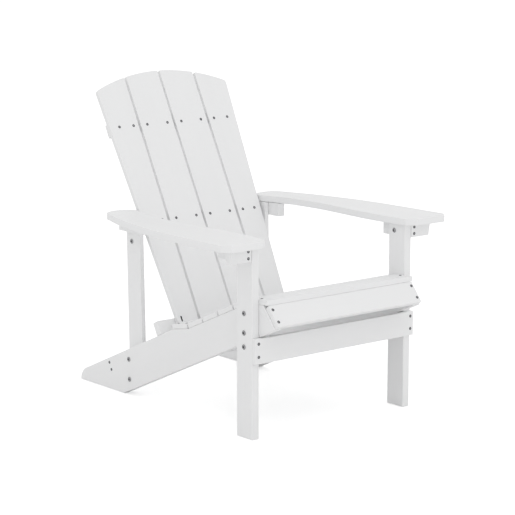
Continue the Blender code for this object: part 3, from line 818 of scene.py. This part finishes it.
for label, side in SIDES:
    inward = (-side, 0, 0)

    def spot(x, s, z):
        return world(s, z, side * x)
    for number, z in enumerate(LEG_BOLT_HEIGHTS, start=1):
        bolt("leg_bolt_%s_%d" % (label, number), spot(HALF_WIDTH_LEGS, LEG_BOLT_S, z), inward,
             HALF_WIDTH_LEGS - STRINGER_IN)
    bolt("ledger_bolt_" + label, spot(HALF_WIDTH_LEGS, LEG_BOLT_S, LEDGER_BOLT_HEIGHT), inward,
         HALF_WIDTH_LEGS - STRINGER_IN)
    for number, (s, z) in enumerate(POST_BOLTS, start=1):
        bolt("post_bolt_%s_%d" % (label, number), spot(STRINGER_OUT, s, z), inward, STRINGER_OUT - POST_IN)
    bolt("rest_bolt_" + label, spot(POST_OUT, *REST_BOLT), inward, BOARD + FIT_GAP + BOARD)
    lag("front_cleat_bolt_" + label, spot(HALF_WIDTH_LEGS - TIMBER, *FRONT_CLEAT_BOLT), (side, 0, 0))
    lag("rear_cleat_bolt_" + label, spot(POST_IN, *REAR_CLEAT_BOLT), (side, 0, 0))
    for number, distance in enumerate(LIP_SCREWS, start=1):
        at = np.array(LIP_TOP) + LIP_DOWN * distance
        name = "lip_screw_%s_%d" % (label, number)
        screw(name, world(*at, side * SEAT_SCREW_X), (0, *LIP_IN), replaced=(name,))
    for number, z in enumerate(APRON_SCREW_HEIGHTS, start=1):
        name = "apron_screw_%s_%d" % (label, number)
        screw(name, world(-FIT_GAP - BOARD, z, side * (HALF_WIDTH_LEGS - TIMBER / 2)), (0, 1, 0),
              replaced=(name,))
    # back slats to the rails
    for row, along, places in BACK_SCREWS:
        for number, x in enumerate(places, start=1):
            screw("back_screw_%s_%s_%d" % (row, label, number), world(*back_point(along), side * x),
                  (0, *BACK_REAR))
    # arm bracket, lower rail, stretcher
    rail_top = lower_rail()[2:].mean(0)
    screw("rail_screw_" + label, world(*rail_top, side * SEAT_SCREW_X), (0, *-BACK_UP))
    # painted shade: a thin near-black sheet on the outer slat's face stands for the dark hollow of the slot,
    # which is not cut
    board("painted_slot_shade_sheet_" + label, rectangle(-SLOT_WIDTH / 2, SLOT[1], SLOT_WIDTH / 2, SLOT[2]),
          world(*back_point(0, 0.0004), side * SLOT[0]), AXIS_X, BACK_AXIS, 0.0016, (0, 1), finish="slot_shade",
          corner=0.0021, edge=0.0004, replaced=("back_slat_outer_" + label,))
    for number, z in enumerate(BRACKET_SCREW_HEIGHTS, start=1):
        screw("bracket_screw_%s_%d" % (label, number), world(0, z, side * BRACKET_SCREW_X), (0, 1, 0))
    for number, (s, z) in enumerate(STRETCHER_SCREWS, start=1):
        screw("stretcher_screw_%s_%d" % (label, number), world(s, z, side * STRINGER_OUT), inward)
    # seat slats to the stringers
    for number, section in enumerate(SEAT, start=1):
        along = (section[1] - section[0]) / SLAT_WIDTH
        up = (section[3] - section[0]) / BOARD
        for end, distance in enumerate((0.038,) if number == LEVEL_SLAT else (0.016, 0.054), start=1):
            at = section[3] + along * distance
            screw("seat_screw_%s_%d_%d" % (label, number, end), world(*at, side * SEAT_SCREW_X),
                  (0, *-up))

# ---- floor, light and camera --------------------------------------------------------------------------
FLOOR_GLOW = 0.40           # seen by the camera only, so the floor stays near white round the chair
SKY = 0.885                 # strength of the even light
SKY_SEEN = 0.14             # added where the camera looks straight at it
floor_mesh = bpy.data.meshes.new("studio_floor")
FLOOR_REACH = 9.0
corners = rectangle(-FLOOR_REACH, -FLOOR_REACH, FLOOR_REACH, FLOOR_REACH)
floor_mesh.from_pydata([(x, y, 0) for x, y in corners], [], [(0, 1, 2, 3)])
floor = bpy.data.objects.new("studio_floor", floor_mesh)
bpy.context.collection.objects.link(floor)
floor_material, tree, shader = new_material("studio_floor")
texture = node(tree, "ShaderNodeTexCoord")
mottle = noise(tree, texture.outputs["Object"], 3.0, 3.0, 0.5)
ramp = node(tree, "ShaderNodeValToRGB")
link(tree, mottle, ramp.inputs["Fac"])
ramp.color_ramp.elements[0].color = (0.93, 0.93, 0.93, 1)
ramp.color_ramp.elements[1].color = (0.95, 0.95, 0.95, 1)
link(tree, ramp.outputs["Color"], shader.inputs["Base Color"])
shader.inputs["Roughness"].default_value = 0.9
shader.inputs["Specular IOR Level"].default_value = 0.1
shader.inputs["Emission Color"].default_value = (1, 1, 1, 1)
sight = node(tree, "ShaderNodeLightPath")
link(tree, math_node(tree, "MULTIPLY", sight.outputs["Is Camera Ray"], FLOOR_GLOW),
     shader.inputs["Emission Strength"])
floor_mesh.materials.append(floor_material)
floor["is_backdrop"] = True

world_light = bpy.data.worlds.new("studio")
bpy.context.scene.world = world_light
world_light.use_nodes = True
background = world_light.node_tree.nodes["Background"]
background.inputs["Color"].default_value = (1, 1, 1, 1)
tree = world_light.node_tree
sight = node(tree, "ShaderNodeLightPath")
link(tree, math_node(tree, "ADD", math_node(tree, "MULTIPLY", sight.outputs["Is Camera Ray"], SKY_SEEN), SKY),
     background.inputs["Strength"])


def soft_light(name, place, target, size, power):
    """A square soft light at a place, aimed at a target."""
    lamp = bpy.data.lights.new(name, "AREA")
    lamp.shape = "SQUARE"
    lamp.size = size
    lamp.energy = power
    thing = bpy.data.objects.new(name, lamp)
    bpy.context.collection.objects.link(thing)
    thing.location = place
    aim = np.asarray(target, float) - np.asarray(place, float)
    thing.rotation_euler = Vector(aim).to_track_quat("-Z", "Y").to_euler()


soft_light("key", (0.5, -1.8, 4.4), (0, 0, 0.3), 3.0, 8)
soft_light("fill", (-1.4, -4.3, 0.8), (0, 0, 0.35), 2.5, 7)

camera_data = bpy.data.cameras.new("camera")
camera_data.lens = 36 * 2050.2 / 515
camera_data.sensor_width = 36
camera_data.clip_end = 60
camera = bpy.data.objects.new("camera", camera_data)
bpy.context.collection.objects.link(camera)
camera.location = (-3.6608, LEG_FRONT - 4.1855, 1.5355)
camera.rotation_euler = (math.radians(90 - 10.839), 0.0, math.radians(-39.00))
bpy.context.scene.camera = camera
bpy.context.scene.view_settings.view_transform = "Standard"

low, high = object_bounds()
